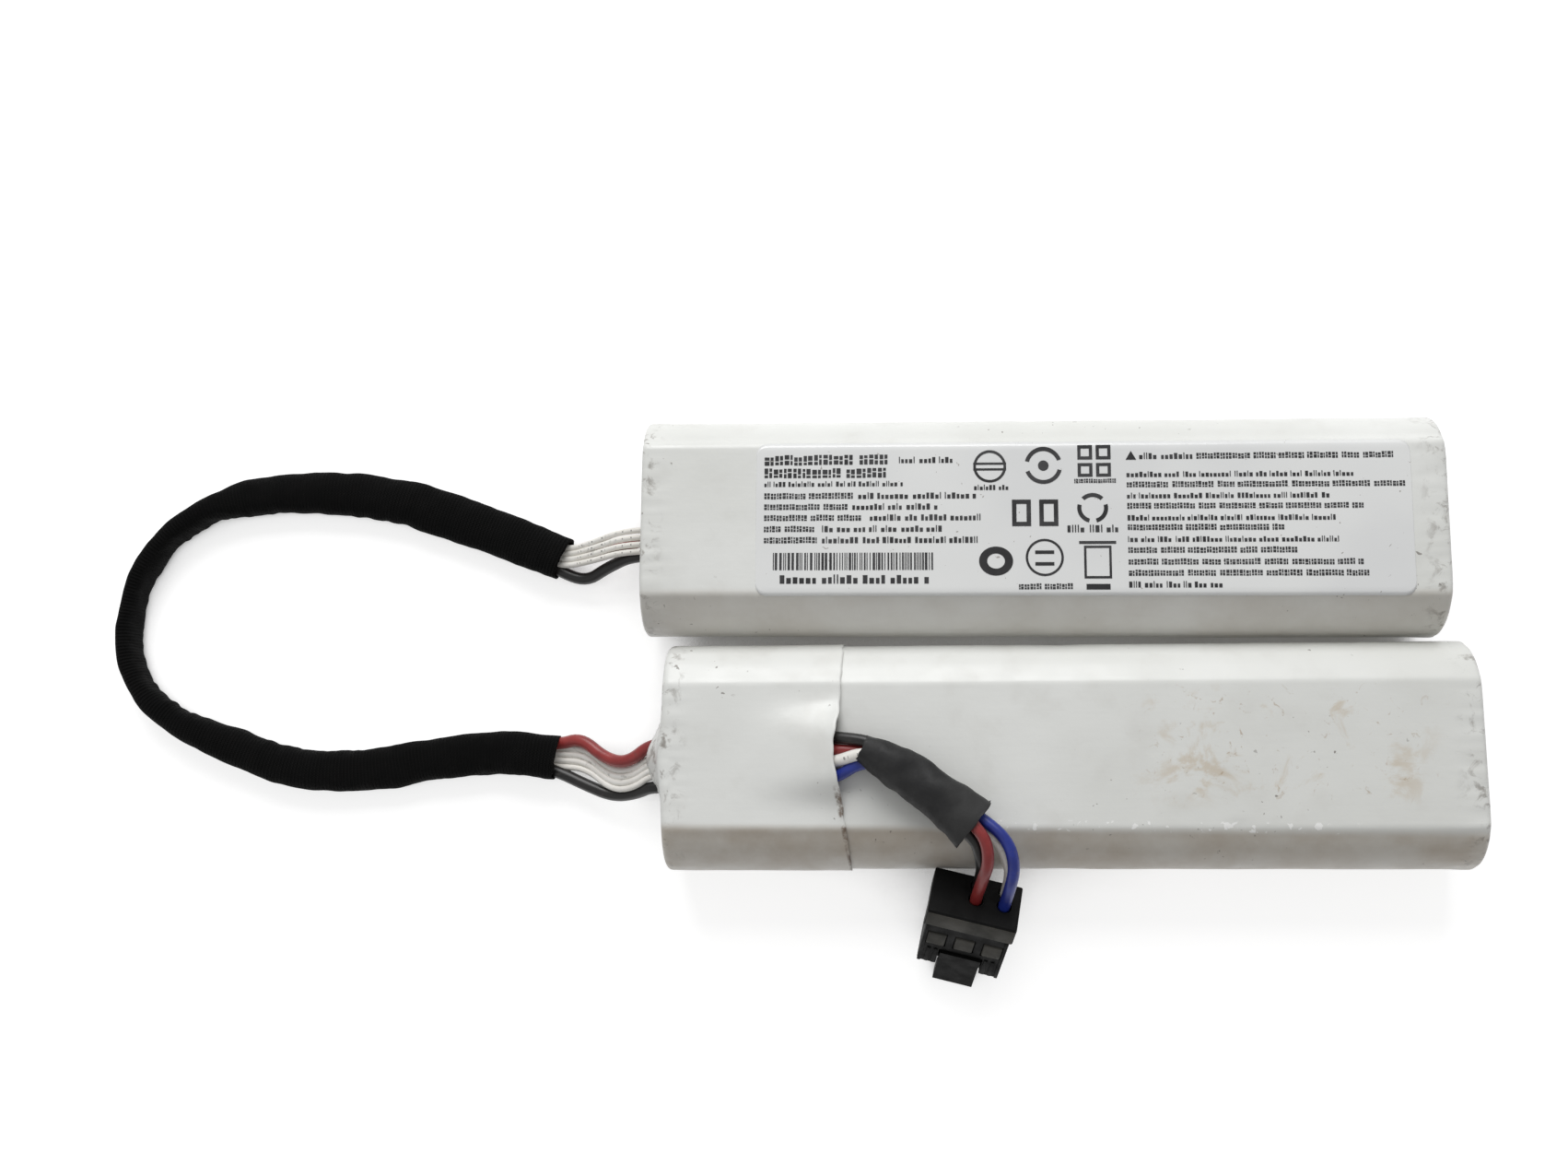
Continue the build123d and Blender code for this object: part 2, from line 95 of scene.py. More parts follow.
# Its half height there is SLEEVE_TALL less this share of its half width.
SLEEVE_TALL = 4.05
SLEEVE_SPREAD = 0.305
SLEEVE_WALL = 0.45
SLEEVE_STEP = 0.45

# Inside the sleeve the wires lie at this share of their places across, and this high: near its
# ends, along it, and at the corners of the far bend.
BUNCHED = 0.62
BUNDLE_AT_ENDS = 3.9
BUNDLE_ALONG = 3.5
BUNDLE_IN_BEND = 3.7
FAR_BEND = range(6, 11)
POWER_R = 1.1
SENSE_R = 0.56
WIRE_END_A = -68.25
WIRE_END_B = -63.12
LEAD = [
    (-30.6, -19.2, 23.3, -45), (-26.0, -21.7, 23.4, 15), (-19.5, -26.3, 23.4, 75), (-13.6, -31.2, 23.3, 135),
]
LEAD_SLEEVE_START = (-31.8, -18.8, 23.3)
LEAD_SLEEVE_STEP = 0.4
LEAD_SLEEVE_WALL = 0.4
LEAD_WIRE_R = 1.0
LEAD_START = -48.5
LEAD_STRAIGHT = 4.5
LEAD_INNER_Z = 17.75
LEAD_PLACE = 1.2

# The connector's own plane, as in the CAD: x across, y towards its nose, z out of its top face.
CONNECTOR_LEAN = math.radians(54.0)
CONNECTOR_TURN = math.radians(12.8)
CONNECTOR_REST = Vector((-12.1, -39.95, 13.4))
PITCH = 4.8
ROWS = (2.0, 4.6)
WIRE_DEPTH = 3.0


# ---- meshes and pieces

def mesh_object(name, points, faces, corners=None):
    """A smooth mesh from points in millimetres; corners are the UV places of its faces' corners."""
    mesh = bpy.data.meshes.new(name)
    mesh.from_pydata([Vector(point) * MM for point in points], [], faces)
    if corners:
        layer = mesh.uv_layers.new(name="along")
        for loop, corner in zip(layer.data, corners):
            loop.uv = corner
    mesh.shade_smooth()
    mesh.update()
    obj = bpy.data.objects.new(name, mesh)
    bpy.context.collection.objects.link(obj)
    return obj


def loft(name, rings, capped=False, skip=None):
    """A skin over closed rings of equal count; u is the distance along it in millimetres, v goes round."""
    count = len(rings[0])
    points = [point for ring in rings for point in ring]
    run = [0.0]
    for before, after in zip(rings, rings[1:]):
        run.append(run[-1] + (sum(after, Vector()) / count - sum(before, Vector()) / count).length)
    faces = []
    corners = []
    for row in range(len(rings) - 1):
        for column in range(count):
            after = (column + 1) % count
            if skip and skip(rings[row][column]):
                continue
            low = row * count
            faces.append((low + column, low + count + column, low + count + after, low + after))
            left = column / count
            right = (column + 1) / count
            corners += [(run[row], left), (run[row + 1], left), (run[row + 1], right), (run[row], right)]
    if capped:
        last = (len(rings) - 1) * count
        for face in (tuple(range(count)), tuple(reversed(range(last, last + count)))):
            faces.append(face)
            corners += [(0.0, 0.0)] * count
    return mesh_object(name, points, faces, corners)


def thicken(obj, wall):
    """Gives an open skin a wall inwards, in millimetres."""
    solid = obj.modifiers.new("wall", "SOLIDIFY")
    solid.thickness = wall * MM
    solid.offset = -1.0


def dress(obj, material, replaces=()):
    """Gives a piece its finish and the CAD nodes it stands for."""
    obj.data.materials.append(material)
    if replaces:
        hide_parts(*replaces)
    return obj


def wander(point, size, seed=0.0):
    """Smooth noise from -1 to 1 whose bumps are about size millimetres across."""
    return noise.noise(Vector(point) / size + Vector((seed, seed * 0.7, -seed)))


def bell(value, middle, width):
    """1 at the middle, falling smoothly to nearly 0 two widths away."""
    return math.exp(-(((value - middle) / width) ** 2))


# ---- materials

class Finish:
    """A material under construction: adds nodes to it and joins them up."""

    def __init__(self, name, roughness, **sockets):
        self.material = bpy.data.materials.new(name)
        self.material.use_nodes = True
        self.tree = self.material.node_tree
        self.shader = self.tree.nodes["Principled BSDF"]
        self.place = self.add("TexCoord").outputs["Object"]
        self.set(roughness=roughness, **sockets)

    def add(self, kind, inputs=None, **settings):
        """A new shader node; its inputs are values or other nodes' outputs."""
        node = self.tree.nodes.new("ShaderNode" + kind)
        for name, value in settings.items():
            setattr(node, name, value)
        for name, value in (inputs or {}).items():
            self.feed(node.inputs[name], value)
        return node

    def feed(self, socket, value):
        if isinstance(value, bpy.types.NodeSocket):
            self.tree.links.new(value, socket)
        else:
            socket.default_value = value

    def set(self, **sockets):
        for name, value in sockets.items():
            self.feed(self.shader.inputs[name.replace("_", " ").title().replace("Ior", "IOR")], value)

    def noise(self, size, detail=3.0, rough=0.55, warp=0.0, place=None):
        """Noise whose bumps are about size millimetres across."""
        inputs = {"Vector": place or self.place, "Scale": 1 / (size * MM), "Detail": detail}
        return self.add("TexNoise", {**inputs, "Roughness": rough, "Distortion": warp}).outputs["Fac"]

    def step(self, value, low, high, start=0.0, end=1.0):
        """Smooth step of a value: start below low, end above high."""
        inputs = {"Value": value, "From Min": low, "From Max": high, "To Min": start, "To Max": end}
        return self.add("MapRange", inputs, interpolation_type="SMOOTHSTEP").outputs["Result"]

    def calc(self, kind, first, second=0.0):
        node = self.add("Math", operation=kind)
        self.feed(node.inputs[0], first)
        self.feed(node.inputs[1], second)
        return node.outputs["Value"]

    def times(self, first, *others):
        """The product of all these values."""
        for other in others:
            first = self.calc("MULTIPLY", first, other)
        return first

    def scaled(self, scale, place=None):
        """A place with its axes scaled, which stretches the noise read there."""
        return self.add("Mapping", {"Vector": place or self.place, "Scale": scale}).outputs["Vector"]

    def mix(self, amount, first, second):
        node = self.add("Mix", data_type="RGBA")
        colour_a, colour_b, result = 6, 7, 2
        self.feed(node.inputs["Factor"], amount)
        self.feed(node.inputs[colour_a], first)
        self.feed(node.inputs[colour_b], second)
        return node.outputs[result]

    def base(self, size, detail, first, second):
        """Starts the material's colour with soft patches of two close tones."""
        self.colour = self.mix(self.step(self.noise(size, detail), 0.35, 0.7), tone(*first), tone(*second))

    def lay(self, colour, *masks):
        """Lays a tone over the material's colour as far as the product of the masks says."""
        self.colour = self.mix(self.times(*masks), self.colour, tone(*colour))

    def bump(self, height, distance, strength, below=None):
        inputs = {"Height": height, "Distance": distance * MM, "Strength": strength}
        if below:
            inputs["Normal"] = below
        return self.add("Bump", inputs).outputs["Normal"]

    def axis(self, name, place=None):
        return self.add("SeparateXYZ", {"Vector": place or self.place}).outputs[name]

    def within(self, value, low, high, soft):
        """1 between low and high, in millimetres, fading out over soft on each side."""
        rise = self.step(value, (low - soft) * MM, low * MM)
        fall = self.step(value, high * MM, (high + soft) * MM, 1.0, 0.0)
        return self.times(rise, fall)


def tone(red, green, blue):
    """A colour from its 0 to 255 screen values."""
    linear = [((value / 255 + 0.055) / 1.055) ** 2.4 for value in (red, green, blue)]
    return (*linear, 1.0)


def film_finish(name, stick, shade_and_grime, stain=None, torn_edge=False):
    """White shrink film: satin, a little uneven, dirty near its ends, darker towards the bottom, with painted
    shade mixed with some grime on its lower shoulder.
    """
    look = Finish(name, 0.36, specular_ior_level=0.45, coat_weight=0.12, coat_roughness=0.25)
    x = look.axis("X")
    y = look.axis("Y")
    z = look.axis("Z")
    look.base(38, 2, (233, 234, 231), (224, 225, 221))
    look.lay((214, 213, 208), look.step(look.noise(9, 4), 0.5, 0.72, 0, 0.35))

    # Painted shade, mottled and mixed with some brownish grime, on the shoulder away from the light; the film
    # is also darker towards the bottom, and grimy at both ends.
    shoulder_start = stick["y"] - 11.6
    shoulder_end = stick["y"] - 13.4
    side = look.times(look.step(y, shoulder_start * MM, shoulder_end * MM), 0.62)
    patches = look.step(look.noise(16, 5, 0.6), 0.3, 0.75, 0.5, 1.0)
    look.lay((176, 164, 148), side, patches, shade_and_grime)
    # Darker towards the bottom, near the floor.
    low = look.step(z, 7 * MM, 2 * MM, 0, 0.55)
    look.lay((168, 160, 149), low, patches)
    left_end = stick["x"] - stick["length"] / 2
    right_end = stick["x"] + stick["length"] / 2
    ends = look.calc("ADD", look.step(x, (left_end + 5) * MM, left_end * MM),
                     look.step(x, (right_end - 6) * MM, right_end * MM))
    smears = look.step(look.noise(2.6, 6, 0.65, 0.6), 0.52, 0.68)
    look.lay((120, 112, 103), ends, smears, 0.75)

    # Specks, in loose groups.
    specks = look.step(look.noise(1.15, 2, 0.5, 0.4), 0.715, 0.745)
    where = look.step(look.noise(24, 3), 0.53, 0.62)
    look.lay((98, 88, 80), specks, where, 0.7)
    if stain:
        # Brown blots with finer flecks, and white chips along the shoulder in front of them.
        low_x, high_x, low_y, high_y = stain
        patch = look.times(look.within(x, low_x, high_x, 12), look.within(y, low_y, high_y, 5))
        blots = look.step(look.noise(7.5, 6, 0.62, 0.5), 0.53, 0.66)
        look.lay((196, 176, 146), patch, blots, 0.5)
        fine = look.step(look.noise(2.2, 6, 0.7, 0.8), 0.6, 0.68)
        look.lay((170, 146, 116), patch, fine, 0.6)
        edge = look.times(look.within(y, -31.9, -30.6, 0.4), look.within(x, -8, 44, 8))
        chips = look.step(look.noise(1.5, 3, 0.5, 0.5), 0.6, 0.64)
        look.lay((248, 248, 246), edge, chips)
    if torn_edge:
        # A ragged brown line along the film's slanting edge, on its lower side.
        slant = look.calc("ADD", x, look.times(y, 0.196))
        line = look.times(look.within(slant, -41.3, -40.7, 0.5), look.within(y, -40, -27, 3))
        ragged = look.step(look.noise(1.8, 5, 0.65), 0.4, 0.6)
        look.lay((104, 82, 64), line, ragged, 0.85)

    # Fine lines along the stick over soft dents.
    lines = look.noise(0.9, 3, place=look.scaled((0.12, 1.0, 1.0)))
    rough = look.step(look.noise(5, 4), 0.3, 0.7, 0.3, 0.46)
    fine = look.bump(lines, 0.03, 0.5)
    normal = look.bump(look.noise(3.4, 3), 0.09, 0.6, fine)
    look.set(base_color=look.colour, roughness=rough, normal=normal)
    return look.material


def plastic_finish(name, dark, light, roughness, grain=0.35, bump=0.03, **sockets):
    """Moulded or drawn plastic: two close tones in soft patches, with a fine grain."""
    look = Finish(name, roughness, **sockets)
    patches = look.step(look.noise(6, 4), 0.35, 0.68)
    look.set(
        base_color=look.mix(patches, tone(*dark), tone(*light)),
        roughness=look.step(look.noise(2.5, 4), 0.3, 0.7, roughness - 0.08, roughness + 0.1),
        normal=look.bump(look.noise(grain, 3), bump, 0.5),
    )
    return look.material


def woven_finish():
    """Black woven sleeve: fine ribs across it, warp threads along it, lint, and lighter raised ribs in
    patches, partly wear and partly a painted highlight.
    """
    look = Finish("woven_sleeve", 0.85, specular_ior_level=0.12)
    flat = look.add("TexCoord").outputs["UV"]
    along = look.axis("X", flat)
    around = look.axis("Y", flat)
    rib_step = 0.62
    warp_threads = 64
    ribs = look.calc("SINE", look.times(along, 2 * math.pi / rib_step))
    warp = look.calc("SINE", look.times(around, 2 * math.pi * warp_threads))
    weave = look.calc("ADD", look.times(ribs, 0.7), look.times(ribs, warp, 0.5))
    lint = look.step(look.noise(4.0, 6, 0.7), 0.45, 0.8)
    # Lighter tone on the crests of the ribs, in patches: partly wear, partly a painted highlight.
    high = look.step(weave, 0.1, 1.1, 0, 0.6)
    worn = look.step(look.noise(14, 4), 0.35, 0.75)
    look.colour = look.mix(lint, tone(6, 6, 6), tone(13, 12, 12))
    look.lay((30, 29, 28), high, worn)
    fuzz = look.bump(look.noise(1.2, 4), 0.1, 0.5)
    look.set(base_color=look.colour, normal=look.bump(weave, 0.14, 0.9, fuzz))
    return look.material


def insulation_finish(name, dark, light, marks=None):
    """Wire insulation: soft PVC with a little handling dirt, and printed dashes on the sense wires."""
    look = Finish(name, 0.38, specular_ior_level=0.5, coat_weight=0.15, coat_roughness=0.3)
    look.base(5, 4, dark, light)
    dirt = look.step(look.noise(1.6, 5, 0.6), 0.58, 0.72, 0, 0.35)
    look.lay((88, 80, 74), dirt)
    if marks:
        # Dashes in a narrow line on the wire's upper side, near its start.
        flat = look.add("TexCoord").outputs["UV"]
        spaced = look.scaled((1.0, 0.02, 1.0), flat)
        spots = look.add("TexNoise", {"Vector": spaced, "Scale": 1.7, "Detail": 2.0}).outputs["Fac"]
        dashes = look.step(spots, 0.56, 0.6, 0, 0.75)
        side = look.step(look.calc("ABSOLUTE", look.calc("SUBTRACT", look.axis("Y", flat), 0.25)), 0.05, 0.03)
        run = look.step(look.calc("ABSOLUTE", look.calc("SUBTRACT", look.axis("X", flat), 8.0)), 9.0, 8.5)
        look.lay(marks, dashes, side, run)
    look.set(base_color=look.colour, normal=look.bump(look.noise(0.9, 3), 0.03, 0.4))
    return look.material


def metal_finish(name, dark, light, roughness):
    """Bare metal with fine drawn lines."""
    look = Finish(name, roughness, metallic=1.0)
    lines = look.noise(0.3, 4, place=look.scaled((1.0, 0.08, 1.0)))
    look.set(
        base_color=look.mix(look.step(look.noise(4, 4), 0.35, 0.7), tone(*dark), tone(*light)),
        roughness=look.step(lines, 0.3, 0.7, roughness - 0.08, roughness + 0.12),
        normal=look.bump(lines, 0.01, 0.5),
    )
    return look.material


def board_finish():
    """Green solder mask over copper tracks."""
    look = Finish("circuit_board", 0.35, coat_weight=0.3, coat_roughness=0.15)
    bricks = look.add("TexBrick", {"Vector": look.place, "Scale": 420.0, "Mortar Size": 0.012})
    tracks = bricks.outputs["Fac"]
    look.colour = look.mix(look.noise(6, 3), tone(20, 74, 44), tone(30, 96, 56))
    look.lay((74, 128, 70), tracks, 0.5)
    look.set(base_color=look.colour, normal=look.bump(tracks, 0.03, 0.5))
    return look.material


def paper_finish(name, dark, light):
    """Rough fibres: insulating paper, and foam in its own tones."""
    look = Finish(name, 0.85, specular_ior_level=0.2)
    fibres = look.noise(0.5, 5, 0.7, 1.2)
    look.set(base_color=look.mix(fibres, tone(*dark), tone(*light)), normal=look.bump(fibres, 0.06, 0.6))
    return look.material


# The third value sets how strong the painted shade and grime on each film's lower shoulder are.
FILM_A = film_finish("wrap_film_a", STICK_A, 0.75)
FILM_B = film_finish("wrap_film_b", STICK_B, 1.5, (22, 54, -24, -11))
FILM_BAND = film_finish("wrap_film_band", STICK_B, 1.55, torn_edge=True)
SLEEVE = woven_finish()
SHRINK = plastic_finish("heat_shrink", (32, 32, 33), (49, 49, 49), 0.58, 0.5, 0.06, specular_ior_level=0.35)
WIRE_RED = insulation_finish("wire_red", (128, 36, 37), (156, 56, 54))
WIRE_BLACK = insulation_finish("wire_black", (20, 19, 19), (36, 34, 33))
WIRE_WHITE = insulation_finish("wire_white", (238, 235, 228), (248, 246, 241), (92, 90, 88))
WIRE_BLUE = insulation_finish("wire_blue", (26, 42, 128), (40, 60, 156))
HOUSING = plastic_finish("connector_plastic", (7, 7, 7), (15, 15, 15), 0.6, 0.6, specular_ior_level=0.15)
# A lighter copy of the black connector plastic: a painted highlight on the window pads, collar and side
# clips.
HIGHLIGHT_HOUSING = plastic_finish("connector_highlight", (56, 55, 51), (76, 74, 69), 0.6, 0.6, specular_ior_level=0.2)
BY_SLOT = {
    "cell_can": metal_finish("cell_can", (168, 168, 166), (196, 195, 192), 0.3),
    "cell_film": plastic_finish("cell_film", (60, 104, 92), (76, 122, 108), 0.35),
    "paper": paper_finish("paper", (188, 182, 164), (214, 209, 194)),
    "nickel": metal_finish("nickel", (178, 174, 164), (204, 200, 190), 0.32),
    "foam": paper_finish("foam", (38, 38, 40), (66, 66, 68)),
    "circuit_board": board_finish(),
    "component": plastic_finish("component", (18, 18, 19), (34, 34, 35), 0.4),
    "wire_red": WIRE_RED, "wire_black": WIRE_BLACK, "wire_white": WIRE_WHITE, "wire_blue": WIRE_BLUE,
    "connector_plastic": HOUSING,
    "terminal": metal_finish("terminal", (186, 168, 120), (214, 200, 158), 0.28),
}


# ---- routes and tubes

def even_steps(points, step):
    """The same line with its points a step apart."""
    made = [points[0]]
    owed = step
    for before, after in zip(points, points[1:]):
        run = (after - before).length
        done = 0.0
        while run - done >= owed:
            done += owed
            owed = step
            made.append(before.lerp(after, done / run))
        owed -= run - done
    made.append(points[-1])
    return made


def smooth_route(corners, step=0.8):
    """Points along the smooth curve with these corners, all in millimetres."""
    curve = bpy.data.curves.new("route", "CURVE")
    curve.dimensions = "3D"
    curve.resolution_u = 16
    spline = curve.splines.new("NURBS")
    spline.points.add(len(corners) - 1)
    for point, corner in zip(spline.points, corners):
        point.co = (*(Vector(corner) * MM), 1)
    spline.order_u = 3
    spline.use_endpoint_u = True
    holder = bpy.data.objects.new("route", curve)
    mesh = bpy.data.meshes.new_from_object(holder)
    points = [vertex.co / MM for vertex in mesh.vertices]
    bpy.data.objects.remove(holder)
    bpy.data.curves.remove(curve)
    bpy.data.meshes.remove(mesh)
    return even_steps(points, step)


def ring_round(points, index, half_width, half_height, sides, soft=1.0):
    """A ring across a line: width level, height upwards; soft under 1 squares it off."""
    before = points[max(index - 1, 0)]
    after = points[min(index + 1, len(points) - 1)]
    heading = (after - before).normalized()
    across = heading.cross(Vector((0, 0, 1))).normalized()
    up = across.cross(heading)
    ring = []
    for side in range(sides):
        angle = 2 * math.pi * side / sides
        c = math.cos(angle)
        s = math.sin(angle)
        c = math.copysign(abs(c) ** soft, c)
        s = math.copysign(abs(s) ** soft, s)
        ring.append(points[index] + across * half_width * c + up * half_height * s)
    return ring


def wire(name, corners, radius, material):
    """One insulated wire as a capped round tube, replacing its CAD node."""
    points = smooth_route(corners)
    rings = [ring_round(points, index, radius, radius, 14) for index in range(len(points))]
    obj = dress(loft(name + "_insulation", rings, capped=True), material, (name,))
    return obj, points


def strand(route, place):
    """Corners of one wire of a bundle: its place is turned by the twist and mitred across each bend."""
    corners = []
    for index, (x, y, z, twist) in enumerate(route):
        before = route[max(index - 1, 0)]
        after = route[min(index + 1, len(route) - 1)]
        onward = Vector((after[0] - x, after[1] - y))
        heading_in = Vector((x - before[0], y - before[1])) if index else onward
        heading_out = onward if index < len(route) - 1 else heading_in
        normal_in = Vector((-heading_in.y, heading_in.x)).normalized()
        normal_out = Vector((-heading_out.y, heading_out.x)).normalized()
        mitre = (normal_in + normal_out) / (1 + normal_in.dot(normal_out))
        angle = math.radians(twist)
        across = place[0] * math.cos(angle) - place[1] * math.sin(angle)
        up = place[0] * math.sin(angle) + place[1] * math.cos(angle)
        corners.append((x + mitre.x * across, y + mitre.y * across, z + up))
    return corners


# ---- harness

def along_list(values, share):
    """A value from a list spread evenly from share 0 to share 1, smoothly joined."""
    spot = share * (len(values) - 1)
    index = min(int(spot), len(values) - 2)
    part = spot - index
    part = part * part * (3 - 2 * part)
    return values[index] * (1 - part) + values[index + 1] * part


def sleeve_height(half):
    return SLEEVE_TALL - SLEEVE_SPREAD * half


def harness_sleeve():
    """The woven sleeve lies on the floor: wide and flat at its ends, on edge round the far bend."""
    line = smooth_route([corner[:3] for corner in HARNESS], SLEEVE_STEP)
    count = len(line)
    shares = [index / (count - 1) for index in range(count)]
    halves = [along_list(SLEEVE_HALF, share) for share in shares]
    clearance = 0.25
    points = []
    for point, half, share in zip(line, halves, shares):
        rise = 1.3 * bell(share, 0.0, 0.05) + 1.2 * bell(share, 1.0, 0.06)
        points.append(Vector((point.x, point.y, sleeve_height(half) + clearance + rise)))
    rings = []
    sides = 40
    reach = 6
    lowest = 0.05
    for index in range(count):
        before = points[max(index - reach, 0)]
        after = points[min(index + reach, count - 1)]
        heading = (after - before).normalized()
        turn = 0.0
        if reach <= index < count - reach:
            heading_in = (points[index] - before).xy.normalized()
            turn = heading_in.angle_signed((after - points[index]).xy.normalized(), 0.0)
        inner_side = 1 if turn > 0 else -1
        sharpness = min(abs(turn) * 9, 1.0)
        run = index * SLEEVE_STEP
        ring = ring_round(points, index, halves[index], sleeve_height(halves[index]), sides, 0.82)
        made = []
        for side, point in enumerate(ring):
            out = (point - points[index]).normalized()
            inner = max(0.0, math.cos(2 * math.pi * side / sides) * inner_side) * sharpness
            fold = wander((run, side * 0.18, 0), 1.5, 3.0) * 0.42 * inner
            slack = wander((run, side * 0.42, 5), 5.5) * 0.34 + wander((run, side * 0.6, 9), 2.0) * 0.1
            fray = 0.35 * wander((side * 1.7, 0, 0), 1.0, 7.0) if index in (0, count - 1) else 0.0
            moved = point + out * (fold + slack) + heading * fray
            moved.z = max(moved.z, lowest)
            made.append(moved)
        rings.append(made)
    obj = loft("harness_sleeve_weave", rings)
    thicken(obj, SLEEVE_WALL)
    dress(obj, SLEEVE, ("harness_sleeve",))
    return obj, points


def bundle_height(index):
    if index in FAR_BEND:
        return BUNDLE_IN_BEND
    return BUNDLE_ALONG if 1 < index < len(HARNESS) - 2 else BUNDLE_AT_ENDS


def harness_wires():
    """Two power wires and four sense wires, fanned out where they leave the sleeve."""
    made = []
    # Each wire's radius, its place across and up in the bundle, its finish and slot, and its own
    # corners from stick A into the sleeve and from the sleeve into stick B.
    rows = {
        "harness_red": (
            POWER_R, (-2.3, 0.0), WIRE_RED, "wire_red",
            [(WIRE_END_A, 19.6, 7.9), (-73.6, 18.6, 7.1), (-80.4, 16.4, 4.6), (-86.4, 16.8, 3.4)],
            [
                (-82.4, -16.6, 5.4), (-77.6, -20.4, 7.2), (-73.2, -21.2, 8.8),
                (-68.6, -17.4, 10.2), (WIRE_END_B, -17.5, 10.2),
            ],
        ),
        "harness_black": (
            POWER_R, (2.3, 0.0), WIRE_BLACK, "wire_black",
            [
                (WIRE_END_A, 15.8, 8.6), (-72.8, 16.2, 8.4), (-78.4, 14.2, 5.8),
                (-82.6, 11.9, 3.8), (-87.7, 13.9, 3.9),
            ],
            [
                (-81.6, -25.0, 4.1), (-76.4, -27.0, 4.6), (-71.8, -26.4, 6.6),
                (-68.4, -25.0, 8.9), (WIRE_END_B, -25.7, 9.1),
            ],
        ),
    }
    for index in range(4):
        across = index - 1.5
        rows[f"harness_white_{index + 1}"] = (
            SENSE_R, (across * 1.15, 0.5), WIRE_WHITE, "wire_white",
            [
                (WIRE_END_A, 18.4 - 1.3 * across, 10.6), (-74.4, 18.4 - 1.3 * across, 10.4),
                (-80.6, 17.0 - 1.15 * across, 7.4), (-86.8 - 0.47 * across, 16.0 - 1.05 * across, 4.4),
            ],
            [
                (-81.6, -20.2 - 1.15 * across, 4.4), (-76.6, -24.2 - 1.1 * across, 6.0),
                (-72.2, -23.9 - 1.1 * across, 8.0), (-68.6, -21.2 - 1.15 * across, 9.3),
                (WIRE_END_B, -21.6 - 1.15 * across, 9.4),
            ],
        )
    low = [(x, y, bundle_height(index), twist) for index, (x, y, _, twist) in enumerate(HARNESS)]
    for name, (radius, place, material, slot, at_a, at_b) in rows.items():
        fanned = strand(low, place)
        bunched = strand(low, (place[0] * BUNCHED, place[1]))
        corners = at_a + bunched[1:-1] + fanned[-1:] + at_b
        obj, points = wire(name, corners, radius, material)
        made.append((obj, points, radius))
    return made


# ---- sticks

# The way round the section, and how far along it each point of a ring lies.
SLOT_ROUND = 4 * FLAT + 2 * math.pi * ROUND
STEPS_ROUND = 200
AROUND = [SLOT_ROUND * column / STEPS_ROUND for column in range(STEPS_ROUND)]


def across_slot(s):
    """Where a distance s round the slot section lies: its core point and its outward direction."""
    arc = math.pi * ROUND
    s = (s + SLOT_ROUND / 2) % SLOT_ROUND - SLOT_ROUND / 2
    sign = 1 if s >= 0 else -1
    s = abs(s)
    if s < FLAT:
        return Vector((0, sign * s, ROUND)), Vector((0, 0, 1))
    if s < FLAT + arc:
        angle = math.pi / 2 - (s - FLAT) / ROUND
        return Vector((0, sign * FLAT, ROUND)), Vector((0, sign * math.cos(angle), math.sin(angle)))
    return Vector((0, sign * (2 * FLAT + arc - s), ROUND)), Vector((0, 0, -1))


def to_stick(stick, point):
    """A point in a stick's own millimetres moved to where the stick lies."""
    c = math.cos(stick["turn"])
    s = math.sin(stick["turn"])
    x = point.x * c - point.y * s + stick["x"]
    y = point.x * s + point.y * c + stick["y"]
    return Vector((x, y, point.z + stick["z"]))


def crease(across, out, edge):
    """The film stays flat on top as far as the edge of the paper under it, then turns down quickly."""
    if out.z <= 0:
        return 0.0
    if across <= edge:
        return ROUND / out.z - ROUND
    sine = (edge - FLAT) / ROUND
    return (ROUND / math.sqrt(1 - sine * sine) - ROUND) * bell(across, edge, 1.2)


def film_bulge(stick, x, s):
    """How far the film stands off the plain slot section, along its outward direction."""
    core, out = across_slot(s)
    flat = core + out * ROUND
    seed = stick["seed"]
    from_end = stick["length"] / 2 - abs(x)
    # Broad and small dents, puckers near the ends, a waist where two cells meet, and the crease.
    bulge = 0.07 * wander((x, flat.y, flat.z), 14, seed) + 0.03 * wander((x, flat.y, flat.z), 4.5, seed)
    bulge += 0.16 * wander((x * 0.25, s * 1.6, 0), 2.2, seed) * bell(from_end, 1.5, 3.0)
    bulge -= 0.1 * bell(x, 0.0, 3.0) * abs(out.y)
    bulge += crease(abs(flat.y), out, stick["crease"])
    if stick is STICK_B:
        # Nicks along the crease in front.
        nick = wander((x, 0, 0), 2.4, 5.0) * bell(flat.y, -11.8, 0.9) * bell(x, 25, 20)
        bulge -= 0.32 * max(nick, 0.0) * max(out.z, 0.0)
    if out.z < -0.5:
        bulge = min(bulge, 0.0)  # flat where it lies on the floor
    return bulge


def film_point(stick, x, s, lift=0.0):
    """A point of the film, x along the stick and s round it, lifted off it a little."""
    core, out = across_slot(s)
    point = core + out * (ROUND + lift + film_bulge(stick, x, s))
    point.x = x
    return to_stick(stick, point)


